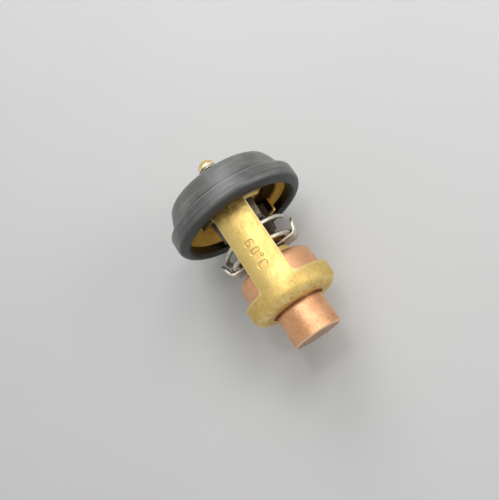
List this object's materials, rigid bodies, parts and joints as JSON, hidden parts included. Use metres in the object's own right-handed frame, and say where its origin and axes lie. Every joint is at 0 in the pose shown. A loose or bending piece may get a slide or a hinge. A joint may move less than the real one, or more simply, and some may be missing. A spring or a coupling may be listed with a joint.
{
  "type": "engine thermostat",
  "caption": "Poppet engine thermostat: rubber seal ring on a dished brass plate, brass cage round a copper wax capsule, stirrup, hooked retainer and coil springs that shut the valve.",
  "frame": {"origin": "centre of the seal ring, on its mould parting plane", "axes": "+X along the thermostat's axis towards the capsule bulb, +Z out through the middle of one cage strap, so the straps lie along Z and the open windows along Y"},
  "size_m": [0.052, 0.0344, 0.0344],
  "materials": {
    "ring_rubber": "satin moulded black rubber with a mould parting line",
    "plate_brass": "pressed yellow brass, satin",
    "cage_brass": "drawn brass with fine draw lines along the straps",
    "stirrup_steel": "stainless strip, brushed",
    "case_copper": "drawn copper, lightly marked",
    "guide_brass": "turned brass, dull",
    "backup_plastic": "white fluoroplastic ring",
    "sleeve_rubber": "moulded rubber",
    "wax": "wax filled with copper powder",
    "spring_steel": "drawn stainless spring wire",
    "stem_steel": "turned steel",
    "push_brass": "pressed brass, bright",
    "retainer_steel": "stainless strip with rounded ends",
    "head_brass": "turned brass, bright",
    "valve_brass": "drawn brass",
    "relief_steel": "fine stainless spring wire"
  },
  "bodies": {
    "housing": {"seal_ring": "ring_rubber", "flange_plate": "plate_brass", "cage": "cage_brass", "spring_stirrup": "stirrup_steel", "capsule_case": "case_copper", "piston_guide": "guide_brass", "backup_ring": "backup_plastic", "rubber_sleeve": "sleeve_rubber", "wax_charge": "wax", "main_spring": "spring_steel"},
    "train": {"piston": "stem_steel", "push_cup": "push_brass", "spring_retainer": "retainer_steel", "valve_stem": "stem_steel", "stem_head": "head_brass", "relief_spring": "relief_steel"},
    "valve": {"valve_hat": "valve_brass"}
  },
  "joints": [
    {"name": "valve_lift", "type": "slide", "parent": "housing", "child": "train", "axis": [-1, 0, 0], "range_m": [0, 0.003], "stiffness_N_per_m": 300, "springref_m": -0.002, "deforming": ["main_spring"]},
    {"name": "relief_lift", "type": "slide", "parent": "train", "child": "valve", "axis": [-1, 0, 0], "range_m": [0, 0.0012], "stiffness_N_per_m": 100, "springref_m": -0.001, "deforming": ["relief_spring"]}
  ]
}
